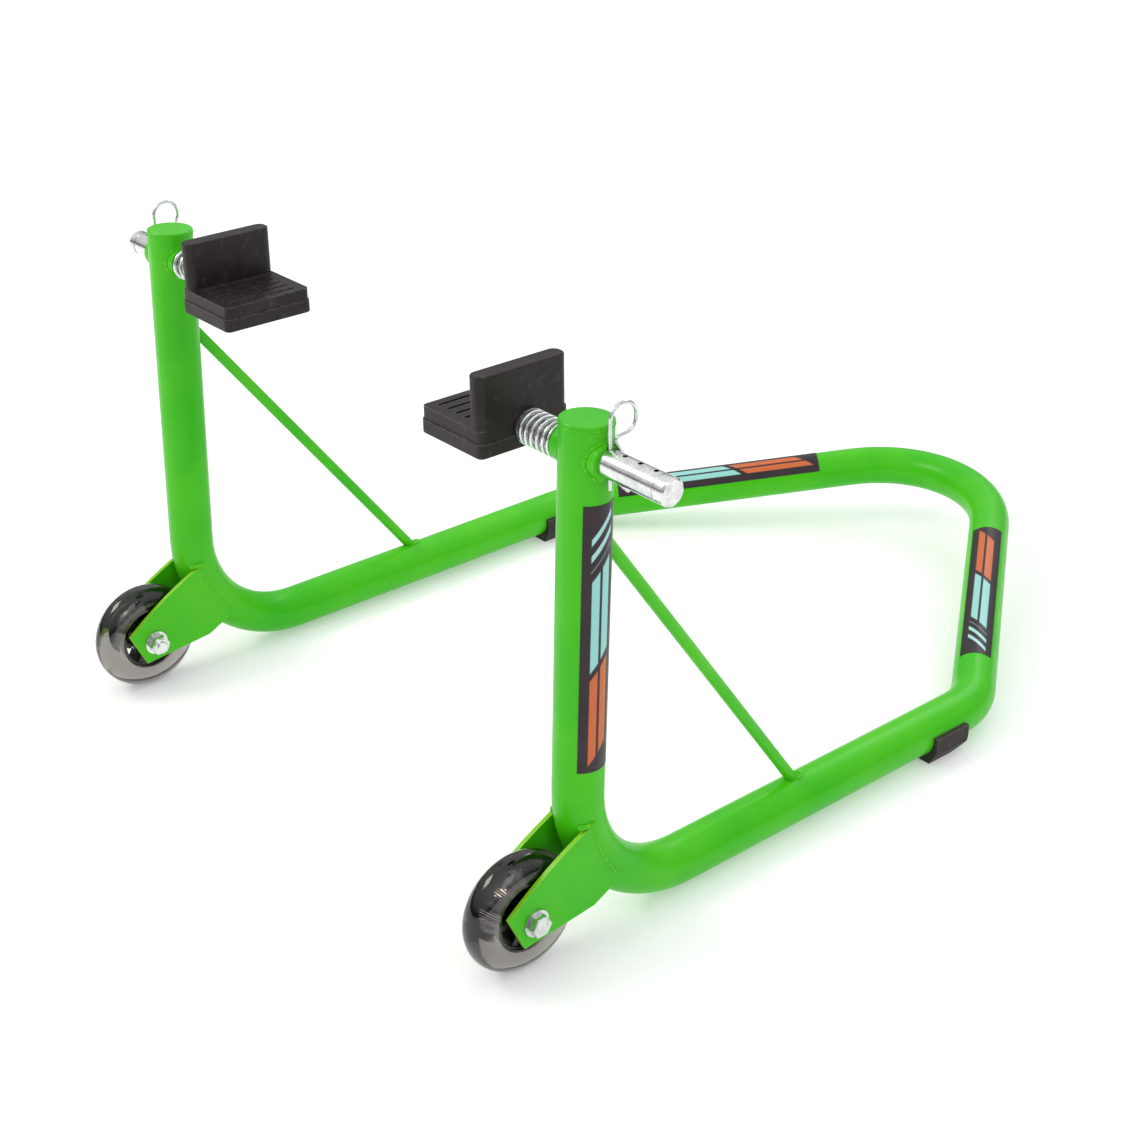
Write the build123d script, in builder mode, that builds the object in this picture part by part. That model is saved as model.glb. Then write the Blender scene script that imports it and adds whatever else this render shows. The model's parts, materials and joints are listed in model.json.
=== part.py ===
"""Rear paddock stand for a motorcycle: one bent tube on two skate wheels and two rubber feet,
with a spring-loaded, swivelling rubber cradle on a pin through the top of each upright.

Millimetres. X is across the stand, Y runs from the wheels to the handle, Z is up. The pieces are
drawn about the floor point midway between the heels of the two uprights, and saved about the floor
point below the middle of the whole stand.
"""

from build123d import *
import math
import os

os.makedirs("parts", exist_ok=True)

# Driving dimensions: frame tube
tube_od = 32.0
tube_wall = 2.0
track_half = 225.5
upright_top_z = 345.5
upright_lean = 10.8
rail_front_clear = 1.5
rail_rear_clear = 3.5
rail_length = 376.5
handle_reach = 298.0
handle_rise = 42.0
heel_bend_r = 85.0
foot_bend_r = 55.0
apex_bend_r = 97.0
cap_t = 3.0
cap_chamfer = 0.6

# Driving dimensions: diagonal braces, which are placed by hand and differ a little
brace_d = 8.0
brace_below_top = {"left": 59.2, "right": 56.4}
brace_foot_y = {"left": 216.3, "right": 202.2}
brace_off_centre = {"left": -4.0, "right": -2.0}

# Driving dimensions: skate wheels, forks and axles
wheel_d = 80.0
wheel_w = 24.0
wheel_to_tube_gap = 5.12
wheel_to_plate_gap = 1.0
plate_t = 3.0
plate_edge_short = 3.0
plate_top_angle = 189.0
plate_bottom_angle = 224.0
plate_nose_top = (-20.0, 9.5)
plate_nose_bottom = (-8.3, -15.5)
plate_crown = (10.0, 31.0)
plate_belly = (46.0, -9.5)
axle_d = 8.0
axle_clearance = 0.04
bolt_head_af = 13.0
bolt_head_h = 5.3
bolt_end = 2.0
nut_hex_h = 6.5
nut_collar_h = 1.5
axle_washer_od = 18.0
axle_washer_t = 1.6
tyre_depth = 18.0
tyre_lip = 1.8
rim_t = 3.0
rim_hidden = 1.5
rim_half_w = 9.0
boss_r = 14.0
hub_bore_r = 8.0
spoke_count = 6
spoke_t = 3.6
spoke_half_w = 7.5

# Driving dimensions: the ball bearings in the wheels
bearing_od = 22.0
bearing_w = 7.0
ball_d = 3.969
ball_count = 7
ball_pitch_r = 7.75
groove_clearance = 0.045
inner_shoulder_r = 6.05
outer_shoulder_r = 9.5
cage_inner_r = 6.9
cage_outer_r = 8.6
cage_w = 4.8
pocket_clearance = 0.1
shield_t = 0.3
shield_gap = 0.25
spacer_od = 10.5

# Driving dimensions: support pins, sleeves, springs and clips
pin_d = 17.0
pin_drop = 20.7
pin_outer_reach = 71.0
pin_chamfer = 1.2
pin_groove_w = 1.5
pin_groove_depth = 0.5
pin_groove_from_end = 8.5
pin_clearance = 0.08
hole_pitch = 12.5
hole_count = 4
hole_clearance = 0.35
holes_inward = {"left": 2, "right": 0}
sleeve_wall = 2.42
sleeve_proud = 3.0
seat = 0.1
clip_wire = 2.3
clip_leg_past_pin = 7.5
clip_loop_w = 18.8
clip_loop_top = 24.9
clip_loop_bottom = 7.1
clip_elbow = (2.7, 0.2)
clip_crest_drop = 1.4
clip_return_y = 3.4
clip_tip = (13.6, 12.1)
clip_loop_r = 9.0
clip_shoulder_r = 8.0
clip_elbow_r = 2.0
clip_tip_r = 3.0
clip_to_pin_gap = 0.25
spring_wire = 2.4
spring_to_pin_gap = 0.3
spring_turns = 6
spring_washer_t = 1.5

# Driving dimensions: rubber cradles and the steel brackets inside them
boot_face_from_axis = 49.5
boot_depth = 57.0
boot_width = 66.0
boot_off_pin = -2.5
boot_bottom = -12.2
boot_seam = -3.3
boot_seat = 4.7
boot_top = 36.9
boot_wall_t = 13.0
boot_ledge = 0.8
boot_corner_r = 4.0
boot_wall_corner_r = 5.5
boot_edge_r = 1.2
slot_count = 5
slot_length = 50.0
slot_w = 2.2
slot_depth = 3.0
slot_pitch = 8.3
slot_from_nose = 7.5
bracket_t = 4.0
bracket_skin = 3.0
bracket_half_w = 29.5
bracket_inner_r = 2.0

# Driving dimensions: rubber feet and decals
foot_length = 34.0
foot_before_bend = {"left": 41.5, "right": 60.5}
foot_side_wall = 3.5
foot_sole_bevel_w = 6.0
foot_bevel_z = 9.0
foot_above_axis = 2.5
foot_edge_r = 4.0
foot_heel_r = 14.0
decal_t = 0.25
decal_angle = 88.0
upright_decal_below_pin = 26.0
upright_decal_above_bend = 21.3
handle_decal_after_bend = 23.3
handle_decal_before_bend = 28.6
handle_decal_turn = {"left": 22.0, "right": 4.0}

SIDES = (("left", -1), ("right", 1))

# Worked-out sizes
tube_r = tube_od / 2
bore_r = tube_r - tube_wall
wheel_r = wheel_d / 2
axle_z = wheel_r
rail_front_z = tube_r + rail_front_clear
rail_rear_z = tube_r + rail_rear_clear
pin_r = pin_d / 2
sleeve_od = pin_d + 2 * (pin_clearance + sleeve_wall)
spring_mean_r = pin_r + spring_to_pin_gap + spring_wire / 2
fork_half = wheel_w / 2 + wheel_to_plate_gap
plate_outer = fork_half + plate_t
shank_r = axle_d / 2 - axle_clearance
sleeve_half = tube_r + sleeve_proud
clip_from_axis = sleeve_half + clip_wire / 2 + seat
bearing_inner_face = wheel_w / 2 - bearing_w
tyre_bore_r = wheel_r - tyre_depth
rim_outer_r = tyre_bore_r + rim_hidden
ball_r = ball_d / 2
handle_half_angle = math.atan2(track_half, math.hypot(handle_reach, handle_rise))
apex_cut = apex_bend_r / math.sin(handle_half_angle) - apex_bend_r
apex_cut_y = apex_cut * math.cos(math.atan2(handle_rise, handle_reach))
rear_y = rail_length + handle_reach - apex_cut_y + tube_r


def up_point(s, z):
    """Point at height z on the axis of an upright."""
    share = (z - rail_front_z) / (upright_top_z - rail_front_z)
    return Vector(s * track_half, share * upright_lean, z)


def frame_corners(s):
    """Where the tube's straight lines meet: top, heel and rear foot of one side."""
    top = up_point(s, upright_top_z)
    heel = Vector(s * track_half, 0, rail_front_z)
    rear = Vector(s * track_half, rail_length, rail_rear_z)
    return top, heel, rear


apex = Vector(0, rail_length + handle_reach, rail_rear_z + handle_rise)
pin_z = upright_top_z - pin_drop
pin_y = up_point(1, pin_z).Y


def bend_centre(before, corner, after, bend_r):
    """Centre of a bend, and how far its two ends lie from the corner."""
    one, two = (before - corner).normalized(), (after - corner).normalized()
    half_angle = math.radians(one.get_angle(two)) / 2
    centre = corner + (one + two).normalized() * (bend_r / math.sin(half_angle))
    return centre, bend_r / math.tan(half_angle)


# The wheel stands the named gap in front of the heel bend, and the stand's middle follows it
heel_centre, heel_bend_end = bend_centre(*frame_corners(1), heel_bend_r)
wheel_from_centre = heel_bend_r + tube_r + wheel_to_tube_gap + wheel_r
axle_y = heel_centre.Y - math.sqrt(wheel_from_centre**2 - (heel_centre.Z - axle_z) ** 2)
middle = Vector(
    (holes_inward["left"] - holes_inward["right"]) * hole_pitch / 2,
    (axle_y - wheel_r + rear_y) / 2,
    0,
)


def side_plane(s, outward, y=0.0, z=0.0):
    """Plane across X, a distance outward of an upright's axis. Its local axes are Y and Z."""
    return Plane(origin=(s * (track_half + outward), y, z), x_dir=(0, 1, 0), z_dir=(1, 0, 0))


def save(part, name):
    """Write one node, moved so that the origin lies below the middle of the stand."""
    placed = part.moved(Location(-middle))
    placed.label = name
    export_step(placed, f"parts/{name}.step")


def ring_along_x(s, start, length, outer_r, inner_r, y, z):
    """A round tube or washer along X, from start outward by length."""
    with BuildPart() as ring:
        with BuildSketch(side_plane(s, start, y, z)):
            Circle(outer_r)
            Circle(inner_r, mode=Mode.SUBTRACT)
        extrude(amount=s * length)
    return ring.part


def swept_frame(section_r, hollow_r=0.0):
    """The whole bent tube, from the cap of one upright to the cap of the other."""
    left, right = frame_corners(-1), frame_corners(1)
    below_cap = (left[1] - left[0]).normalized() * cap_t
    radii = [heel_bend_r, foot_bend_r, apex_bend_r, foot_bend_r, heel_bend_r]
    with BuildPart() as frame:
        with BuildLine() as path:
            FilletPolyline(
                left[0] + below_cap, left[1], left[2], apex, right[2], right[1],
                right[0] + below_cap, radius=radii,
            )
        with BuildSketch(Plane(origin=path.line @ 0, z_dir=path.line % 0)):
            Circle(section_r)
            if hollow_r:
                Circle(hollow_r, mode=Mode.SUBTRACT)
        sweep(path=path.line)
    return frame.part, path.line


# Frame: the bent tube, with a cross hole in each upright for the sleeve
tube_blank, tube_line = swept_frame(tube_r)
hollow_tube, _ = swept_frame(tube_r, bore_r)
with BuildPart() as main_tube:
    add(hollow_tube)
    for _, s in SIDES:
        with Locations((s * track_half, pin_y, pin_z)):
            Cylinder(sleeve_od / 2, 2 * sleeve_half, rotation=(0, 90, 0), mode=Mode.SUBTRACT)
save(main_tube.part, "main_tube")


def top_cap(s):
    """Round steel disc that closes the top of an upright."""
    top, heel, _ = frame_corners(s)
    with BuildPart() as cap:
        with BuildSketch(Plane(origin=top, x_dir=(1, 0, 0), z_dir=(top - heel).normalized())):
            Circle(tube_r)
        extrude(amount=-cap_t)
        chamfer(cap.edges().group_by(Axis.Z)[-1], cap_chamfer)
    return cap.part


def brace(side, s):
    """Round rod from the back of the upright down to the top of the rail, cut to both tubes."""
    aside = Vector(brace_off_centre[side], 0, 0)
    start = up_point(s, upright_top_z - brace_below_top[side]) + aside
    end_y = brace_foot_y[side]
    end_z = rail_front_z + (rail_rear_z - rail_front_z) * end_y / rail_length
    end = Vector(s * track_half, end_y, end_z) + aside
    with BuildPart() as rod:
        with BuildSketch(Plane(origin=start, x_dir=(1, 0, 0), z_dir=(end - start).normalized())):
            Circle(brace_d / 2)
        extrude(amount=(end - start).length)
        add(tube_blank, mode=Mode.SUBTRACT)
    return rod.part


def fork_plate(s, outward):
    """Flat side plate of a wheel fork: square nose at the axle, back edge along the bend's side."""
    edge_r = heel_bend_r + plate_edge_short

    def from_axle(point):
        return (axle_y + point[0], axle_z + point[1])

    def on_bend(angle):
        turn = math.radians(angle)
        return (heel_centre.Y + edge_r * math.cos(turn), heel_centre.Z + edge_r * math.sin(turn))

    top_end, bottom_end = on_bend(plate_top_angle), on_bend(plate_bottom_angle)
    halfway = on_bend((plate_top_angle + plate_bottom_angle) / 2)
    with BuildPart() as plate:
        with BuildSketch(side_plane(s, outward)):
            with BuildLine():
                Line(from_axle(plate_nose_top), from_axle(plate_nose_bottom))
                Polyline(from_axle(plate_nose_bottom), from_axle(plate_belly), bottom_end)
                ThreePointArc(bottom_end, halfway, top_end)
                ThreePointArc(top_end, from_axle(plate_crown), from_axle(plate_nose_top))
            make_face()
            with Locations((axle_y, axle_z)):
                Circle(axle_d / 2 + hole_clearance, mode=Mode.SUBTRACT)
        extrude(amount=s * plate_t)
        add(tube_blank, mode=Mode.SUBTRACT)
    return plate.part


def rubber_foot(side, s):
    """Saddle-shaped rubber pad under the rail, its bore cut to the tube that it grips."""
    front_y = rail_length - foot_before_bend[side]
    half_w = tube_r + foot_side_wall
    sole_half_w = half_w - foot_sole_bevel_w
    top_z = rail_rear_z + foot_above_axis
    with BuildPart() as foot:
        with BuildSketch(Plane(origin=(s * track_half, front_y, 0),
                               x_dir=(1, 0, 0), z_dir=(0, -1, 0))):
            with BuildLine():
                Polyline(
                    (-sole_half_w, 0), (sole_half_w, 0), (half_w, foot_bevel_z),
                    (half_w, top_z), (-half_w, top_z), (-half_w, foot_bevel_z), close=True,
                )
            make_face()
        extrude(amount=-foot_length)
        fillet(foot.edges().filter_by(Axis.Y).group_by(Axis.Z)[1], foot_edge_r)
        with BuildSketch(side_plane(s, -half_w, front_y)) as outline:
            with Locations((foot_length / 2, top_z / 2)):
                Rectangle(foot_length, top_z)
            heel = outline.vertices().sort_by(Axis.X)[-2:].sort_by(Axis.Y)[0]
            fillet(heel, foot_heel_r)
        extrude(amount=s * 2 * half_w, mode=Mode.INTERSECT)
        add(tube_blank, mode=Mode.SUBTRACT)
    return foot.part


def decal_on(axis_point, along, facing, length):
    """Thin printed film that lies on a straight stretch of tube."""
    half = decal_angle / 2
    outer_r = tube_r + decal_t
    with BuildPart() as decal:
        with BuildSketch(Plane(origin=axis_point, x_dir=facing, z_dir=along)):
            Circle(outer_r)
            Circle(tube_r, mode=Mode.SUBTRACT)
            with BuildLine():
                reach = 2 * outer_r
                turn = math.radians(half)
                far = (reach * math.cos(turn), reach * math.sin(turn))
                Polyline((0, 0), far, (far[0], -far[1]), close=True)
            make_face(mode=Mode.INTERSECT)
        extrude(amount=length)
    return decal.part


def upright_decal(s):
    top, heel, _ = frame_corners(s)
    start = up_point(s, pin_z - upright_decal_below_pin)
    length = (start - heel).length - heel_bend_end - upright_decal_above_bend
    return decal_on(start, (heel - top).normalized(), (s, 0, 0), length)


def handle_decal(side, s):
    _, heel, rear = frame_corners(s)
    along = (apex - rear).normalized()
    inward = Vector(0, 0, 1).cross(along).normalized() * s
    upward = along.cross(inward).normalized() * s
    turn = math.radians(handle_decal_turn[side])
    facing = upward * math.cos(turn) + inward * math.sin(turn)
    _, foot_bend_end = bend_centre(heel, rear, apex, foot_bend_r)
    _, apex_bend_end = bend_centre(rear, apex, frame_corners(-s)[2], apex_bend_r)
    start = foot_bend_end + handle_decal_after_bend
    stop = (apex - rear).length - apex_bend_end - handle_decal_before_bend
    return decal_on(rear + along * start, along, facing, stop - start)


# Wheels, made for either side about its axle
def tyre(s):
    """Round-profile polyurethane tyre, moulded over the rim with a lip each side."""
    lip_x = rim_half_w + tyre_lip
    shoulder_r = wheel_r - wheel_w / 2
    bulge = wheel_w / 2 * math.sqrt(0.5)
    with BuildPart() as part:
        with BuildSketch(Plane(origin=(s * track_half, axle_y, axle_z),
                               x_dir=(1, 0, 0), z_dir=(0, -1, 0))):
            with BuildLine():
                Polyline(
                    (wheel_w / 2, shoulder_r), (lip_x, tyre_bore_r), (rim_half_w, tyre_bore_r),
                    (rim_half_w, rim_outer_r), (-rim_half_w, rim_outer_r),
                    (-rim_half_w, tyre_bore_r), (-lip_x, tyre_bore_r), (-wheel_w / 2, shoulder_r),
                )
                ThreePointArc((-wheel_w / 2, shoulder_r), (-bulge, shoulder_r + bulge), (0, wheel_r))
                ThreePointArc((0, wheel_r), (bulge, shoulder_r + bulge), (wheel_w / 2, shoulder_r))
            make_face()
        revolve(axis=Axis((s * track_half, axle_y, axle_z), (1, 0, 0)))
    return part.part


def hub(s):
    """Moulded hub: rim, spokes and a boss with a bearing seat at each end."""
    rim_inner_r = rim_outer_r - rim_t
    with BuildPart() as part:
        with BuildSketch(side_plane(s, -wheel_w / 2, axle_y, axle_z)):
            Circle(boss_r)
        extrude(amount=s * wheel_w)
        with BuildSketch(side_plane(s, -rim_half_w, axle_y, axle_z)):
            Circle(rim_outer_r)
            Circle(rim_inner_r, mode=Mode.SUBTRACT)
        extrude(amount=s * 2 * rim_half_w)
        with BuildSketch(side_plane(s, -spoke_half_w, axle_y, axle_z)):
            with PolarLocations((boss_r + rim_inner_r) / 2, spoke_count):
                Rectangle(rim_inner_r - boss_r + rim_t, spoke_t)
        extrude(amount=s * 2 * spoke_half_w)
        with BuildSketch(side_plane(s, -wheel_w / 2, axle_y, axle_z)):
            Circle(hub_bore_r)
        extrude(amount=s * wheel_w, mode=Mode.SUBTRACT)
        for start in (-wheel_w / 2, bearing_inner_face):
            with BuildSketch(side_plane(s, start, axle_y, axle_z)):
                Circle(bearing_od / 2)
            extrude(amount=s * bearing_w, mode=Mode.SUBTRACT)
    return part.part


def bearing_centres(s):
    offset = wheel_w / 2 - bearing_w / 2
    return [s * (track_half - offset), s * (track_half + offset)]


def bearing_race(x, inner_r, outer_r):
    """One ring of a bearing, with the ball groove cut into it."""
    axis = Axis((x, axle_y, axle_z), (1, 0, 0))
    with BuildPart() as race:
        with BuildSketch(Plane(origin=(x, axle_y, axle_z), x_dir=(1, 0, 0), z_dir=(0, -1, 0))):
            with Locations((0, (inner_r + outer_r) / 2)):
                Rectangle(bearing_w, outer_r - inner_r)
            with Locations((0, ball_pitch_r)):
                Circle(ball_r + groove_clearance, mode=Mode.SUBTRACT)
        revolve(axis=axis)
    return race.part


def bearing_ball_set(x):
    with BuildPart() as balls:
        with Locations(side_plane(1, x - track_half, axle_y, axle_z)):
            with PolarLocations(ball_pitch_r, ball_count):
                Sphere(ball_r)
    return balls.part


def bearing_cage(x):
    """Nylon ring with a round pocket for each ball."""
    with BuildPart() as cage:
        with BuildSketch(side_plane(1, x - track_half - cage_w / 2, axle_y, axle_z)):
            Circle(cage_outer_r)
            Circle(cage_inner_r, mode=Mode.SUBTRACT)
        extrude(amount=cage_w)
        with Locations(side_plane(1, x - track_half, axle_y, axle_z)):
            with PolarLocations(ball_pitch_r, ball_count):
                Cylinder(ball_r + pocket_clearance, ball_d, rotation=(0, 90, 0), mode=Mode.SUBTRACT)
    return cage.part


def bearing_shield_pair(x):
    """Thin plates that close a bearing, held in its outer ring."""
    offset = bearing_w / 2 - shield_t
    with BuildPart() as shields:
        for start in (-offset - shield_t, offset):
            with BuildSketch(side_plane(1, x - track_half + start, axle_y, axle_z)):
                Circle(outer_shoulder_r)
                Circle(inner_shoulder_r + shield_gap, mode=Mode.SUBTRACT)
            extrude(amount=shield_t)
    return shields.part


def axle_bolt(s):
    """Hex bolt: its head on the outer side, its end past the nut on the inner side."""
    head_start = plate_outer + axle_washer_t
    shank_end = -(plate_outer + axle_washer_t + nut_hex_h + nut_collar_h + bolt_end)
    with BuildPart() as bolt:
        with BuildSketch(side_plane(s, head_start, axle_y, axle_z)):
            RegularPolygon(bolt_head_af / 2, 6, major_radius=False)
        extrude(amount=s * bolt_head_h)
        chamfer(bolt.faces().sort_by(Axis.X)[-1 if s > 0 else 0].edges(), cap_chamfer)
        with BuildSketch(side_plane(s, shank_end, axle_y, axle_z)):
            Circle(shank_r)
        extrude(amount=s * (head_start - shank_end))
        chamfer(bolt.faces().sort_by(Axis.X)[0 if s > 0 else -1].edges(), cap_chamfer)
    return bolt.part


def axle_nut(s):
    """Lock nut: hexagon with a round collar that holds a nylon ring."""
    start = -(plate_outer + axle_washer_t)
    with BuildPart() as nut:
        with BuildSketch(side_plane(s, start, axle_y, axle_z)):
            RegularPolygon(bolt_head_af / 2, 6, major_radius=False)
        extrude(amount=-s * nut_hex_h)
        with BuildSketch(side_plane(s, start - nut_hex_h, axle_y, axle_z)):
            Circle(bolt_head_af / 2 - cap_chamfer)
        extrude(amount=-s * nut_collar_h)
        with BuildSketch(side_plane(s, start, axle_y, axle_z)):
            Circle(axle_d / 2)
        extrude(amount=-s * (nut_hex_h + nut_collar_h), mode=Mode.SUBTRACT)
    return nut.part


def rings_group(rings):
    """Identical loose rings kept together in one node, as separate solids."""
    with BuildPart() as group:
        for ring in rings:
            add(ring)
    return group.part


# Cradle arms
def arm_face(side):
    """Outer face of the rubber cradle, outward of the upright's axis (so negative)."""
    return -boot_face_from_axis - holes_inward[side] * hole_pitch


def support_pin(side, s):
    """Round bar with a row of clip holes, butted on the steel bracket inside the rubber."""
    shift = -holes_inward[side] * hole_pitch
    inner = arm_face(side) - bracket_skin
    outer = pin_outer_reach + shift
    groove_at = outer - pin_groove_from_end
    with BuildPart() as pin:
        with BuildSketch(side_plane(s, inner, pin_y, pin_z)):
            Circle(pin_r)
        extrude(amount=s * (outer - inner))
        chamfer(pin.faces().sort_by(Axis.X)[-1 if s > 0 else 0].edges(), pin_chamfer)
        with BuildSketch(side_plane(s, groove_at, pin_y, pin_z)):
            Circle(pin_r)
            Circle(pin_r - pin_groove_depth, mode=Mode.SUBTRACT)
        extrude(amount=s * pin_groove_w, mode=Mode.SUBTRACT)
        for i in range(hole_count):
            outward = clip_from_axis + i * hole_pitch + shift
            with Locations((s * (track_half + outward), pin_y, pin_z)):
                Cylinder(clip_wire / 2 + hole_clearance, 2 * pin_d, mode=Mode.SUBTRACT)
    return pin.part


def l_bracket(side, s):
    """Steel angle inside the rubber: one leg stands against the pin, one carries the seat."""
    face = arm_face(side) - bracket_skin
    middle_y = pin_y + boot_off_pin
    bottom = boot_bottom + bracket_skin
    top = boot_top - bracket_skin
    nose = arm_face(side) - boot_depth + bracket_skin
    corner = (s * (track_half + face - bracket_t), pin_z + bottom + bracket_t)
    with BuildPart() as bracket:
        with BuildSketch(Plane(origin=(0, middle_y, 0), x_dir=(1, 0, 0), z_dir=(0, -1, 0))):
            with BuildLine():
                Polyline(
                    (s * (track_half + face), pin_z + bottom),
                    (s * (track_half + face), pin_z + top),
                    (corner[0], pin_z + top), corner,
                    (s * (track_half + nose), corner[1]),
                    (s * (track_half + nose), pin_z + bottom), close=True,
                )
            make_face()
        extrude(amount=bracket_half_w, both=True)
        inner_edge = bracket.edges().filter_by(Axis.Y).sort_by_distance(
            (corner[0], middle_y, corner[1]))[0]
        fillet(inner_edge, bracket_inner_r)
    return bracket.part


def cradle_boot(side, s, bracket, pin):
    """L-shaped rubber cradle in two moulded layers, slotted on the seat, over the bracket."""
    face = arm_face(side)
    middle_y = pin_y + boot_off_pin

    upper_r = boot_corner_r - boot_ledge
    layers = (
        (0, boot_depth, 0, boot_bottom, boot_seam, boot_corner_r),
        (boot_ledge, boot_depth - 2 * boot_ledge, boot_ledge, boot_seam, boot_seat, upper_r),
        (boot_ledge, boot_wall_t - boot_ledge, boot_ledge, boot_seat, boot_top,
         boot_wall_corner_r),
    )
    with BuildPart() as boot:
        for from_face, depth, inset, bottom, top, corner_r in layers:
            with BuildSketch(Plane.XY.offset(pin_z + bottom)):
                with Locations((s * (track_half + face - from_face - depth / 2), middle_y)):
                    RectangleRounded(depth, boot_width - 2 * inset, corner_r)
            extrude(amount=top - bottom)
        fillet(boot.edges().group_by(Axis.Z)[0], boot_edge_r)
        fillet(boot.edges().group_by(Axis.Z)[-1], boot_edge_r)
        for i in range(slot_count):
            from_face = boot_depth - slot_from_nose - i * slot_pitch
            with BuildSketch(Plane.XY.offset(pin_z + boot_seat)):
                with Locations((s * (track_half + face - from_face), middle_y)):
                    SlotOverall(slot_length, slot_w, rotation=90)
            extrude(amount=-slot_depth, mode=Mode.SUBTRACT)
        add(bracket, mode=Mode.SUBTRACT)
        add(pin, mode=Mode.SUBTRACT)
    return boot.part


def spring_length(side):
    """Room between the sleeve's end and the washer on the cradle, less the running gaps."""
    return -arm_face(side) - sleeve_half - spring_washer_t - 3 * seat


def spring(side, s):
    """Round-wire compression spring on the pin."""
    height = spring_length(side) - spring_wire
    start = -sleeve_half - seat - spring_wire / 2
    with BuildPart() as coil:
        with BuildLine() as helix:
            Helix(pitch=height / spring_turns, height=height, radius=spring_mean_r,
                  center=(s * (track_half + start), pin_y, pin_z), direction=(-s, 0, 0))
        with BuildSketch(Plane(origin=helix.line @ 0, z_dir=helix.line % 0)):
            Circle(spring_wire / 2)
        sweep(path=helix.line, is_frenet=True)
    return coil.part


def r_clip(s):
    """Hairpin clip: a straight leg through the pin, a loop, and a wavy leg behind the pin.

    The loop and the ends are measured from the pin's surface. The wavy leg runs round the pin:
    its straight below the crest lies at 45 degrees and touches the same circle as the crest.
    """
    x = s * (track_half + clip_from_axis)
    crest_r = pin_r + clip_wire / 2 + clip_to_pin_gap
    reach = crest_r * math.sqrt(2)
    route = [
        (0, -pin_r - clip_leg_past_pin),
        (0, pin_r + clip_loop_top),
        (clip_loop_w, pin_r + clip_loop_top),
        (clip_loop_w, pin_r + clip_loop_bottom),
        (clip_elbow[0], reach + clip_elbow[1]),
        (reach - clip_crest_drop, -clip_crest_drop),
        (clip_return_y, clip_return_y - reach),
        (clip_tip[0], -pin_r - clip_tip[1]),
    ]
    radii = [clip_loop_r, clip_loop_r, clip_shoulder_r, clip_elbow_r, crest_r, clip_tip_r]
    with BuildPart() as clip:
        with BuildLine() as path:
            FilletPolyline(*[(x, pin_y + y, pin_z + z) for y, z in route], radius=radii)
        with BuildSketch(Plane(origin=path.line @ 0, z_dir=path.line % 0)):
            Circle(clip_wire / 2)
        sweep(path=path.line)
    return clip.part


for side, s in SIDES:
    save(top_cap(s), f"{side}_top_cap")
    save(ring_along_x(s, -sleeve_half, 2 * sleeve_half, sleeve_od / 2, pin_r + pin_clearance,
                      pin_y, pin_z), f"{side}_pin_sleeve")
    save(brace(side, s), f"{side}_brace")
    save(fork_plate(s, fork_half), f"{side}_outer_fork_plate")
    save(fork_plate(s, -plate_outer), f"{side}_inner_fork_plate")
    save(rubber_foot(side, s), f"{side}_rubber_foot")
    save(upright_decal(s), f"{side}_upright_decal")
    save(handle_decal(side, s), f"{side}_handle_decal")

    save(tyre(s), f"{side}_tyre")
    save(hub(s), f"{side}_hub")
    centres = bearing_centres(s)
    inner_bore = axle_d / 2
    save(rings_group(bearing_race(x, outer_shoulder_r, bearing_od / 2) for x in centres),
         f"{side}_bearing_outer_rings")
    save(rings_group(bearing_race(x, inner_bore, inner_shoulder_r) for x in centres),
         f"{side}_bearing_inner_rings")
    save(rings_group(bearing_ball_set(x) for x in centres), f"{side}_bearing_balls")
    save(rings_group(bearing_cage(x) for x in centres), f"{side}_bearing_cages")
    save(rings_group(bearing_shield_pair(x) for x in centres), f"{side}_bearing_shields")
    save(ring_along_x(s, -bearing_inner_face, 2 * bearing_inner_face, spacer_od / 2, inner_bore,
                      axle_y, axle_z), f"{side}_bearing_spacer")
    save(rings_group(
        ring_along_x(s, start, fork_half - wheel_w / 2, spacer_od / 2, inner_bore, axle_y, axle_z)
        for start in (-fork_half, wheel_w / 2)), f"{side}_side_spacers")
    save(rings_group(
        ring_along_x(s, start, axle_washer_t, axle_washer_od / 2, axle_d / 2 + hole_clearance / 2,
                     axle_y, axle_z)
        for start in (-plate_outer - axle_washer_t, plate_outer)), f"{side}_axle_washers")
    save(axle_bolt(s), f"{side}_axle_bolt")
    save(axle_nut(s), f"{side}_axle_nut")

    pin = support_pin(side, s)
    bracket = l_bracket(side, s)
    save(pin, f"{side}_support_pin")
    save(bracket, f"{side}_l_bracket")
    save(cradle_boot(side, s, bracket, pin), f"{side}_cradle_boot")
    save(ring_along_x(s, arm_face(side) + seat, spring_washer_t, sleeve_od / 2,
                      pin_r + pin_clearance, pin_y, pin_z), f"{side}_spring_washer")
    save(spring(side, s), f"{side}_spring")
    save(r_clip(s), f"{side}_r_clip")
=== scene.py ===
"""Looks for the paddock stand: enamelled tube, zinc hardware, smoky wheels, rubber cradles."""

import json
import math

import bmesh
import bpy
import numpy as np
from mathutils import Matrix, Vector


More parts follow.
